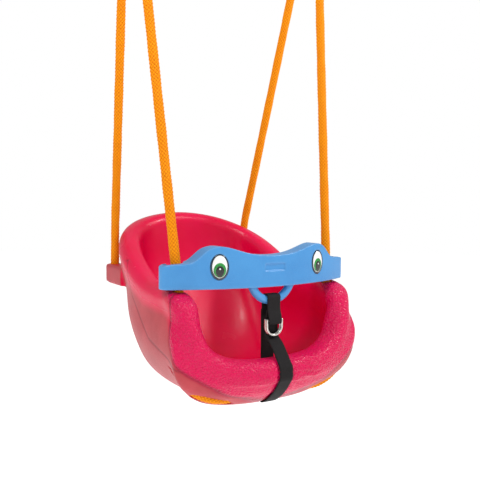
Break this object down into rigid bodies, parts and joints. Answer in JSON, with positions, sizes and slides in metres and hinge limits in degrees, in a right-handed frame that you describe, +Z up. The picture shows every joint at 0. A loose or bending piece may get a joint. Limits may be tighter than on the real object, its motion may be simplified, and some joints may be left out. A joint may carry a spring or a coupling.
{
  "type": "toddler bucket swing",
  "caption": "Moulded bucket seat hung on ropes from hanging rings, with a sliding T-bar guard and a crotch belt with a D-ring buckle.",
  "frame": {"origin": "midway between the two hanging rings, on the line through the centres of their lower wires, which is the line the swing turns on", "axes": "+Z up, +X across the seat, +Y from the guard bar towards the backrest, so the child looks along -Y"},
  "size_m": [0.436, 0.4027, 0.922],
  "materials": {
    "seat_plastic": "gloss, pebbled on the front roll",
    "bar_plastic": "fine pebble texture",
    "eye_print": "gloss",
    "rope": "solid braid",
    "webbing": "ribbed weave",
    "nickel": "nickel plated wire",
    "zinc_steel": "bright zinc"
  },
  "bodies": {
    "hangers": {"hang_ring_left": "zinc_steel", "hang_ring_right": "zinc_steel"},
    "seat": {"seat_shell": "seat_plastic", "rope_left": "rope", "rope_right": "rope", "rope_under": "rope", "knot_left": "rope", "knot_right": "rope", "thimble_left": "zinc_steel", "thimble_right": "zinc_steel", "belt_lower": "webbing"},
    "bar": {"guard_bar": "bar_plastic", "eye_left": "eye_print", "eye_right": "eye_print", "belt_upper": "webbing"},
    "buckle_front": {"d_ring_front": "nickel"},
    "buckle_rear": {"d_ring_rear": "nickel"}
  },
  "joints": [
    {"name": "swing", "type": "hinge", "parent": "hangers", "child": "seat", "pos_m": [0, 0, 0], "axis": [1, 0, 0], "range_deg": [-45, 45]},
    {"name": "bar_slide", "type": "slide", "parent": "seat", "child": "bar", "axis": [0, 0.1335, 0.991], "range_m": [0, 0.2]},
    {"name": "d_ring_front_turn", "type": "hinge", "parent": "bar", "child": "buckle_front", "pos_m": [0, -0.1587, -0.716], "axis": [1, 0, 0], "range_deg": [-40, 0]},
    {"name": "d_ring_rear_turn", "type": "hinge", "parent": "bar", "child": "buckle_rear", "pos_m": [0, -0.1539, -0.716], "axis": [1, 0, 0], "range_deg": [0, 25]}
  ]
}
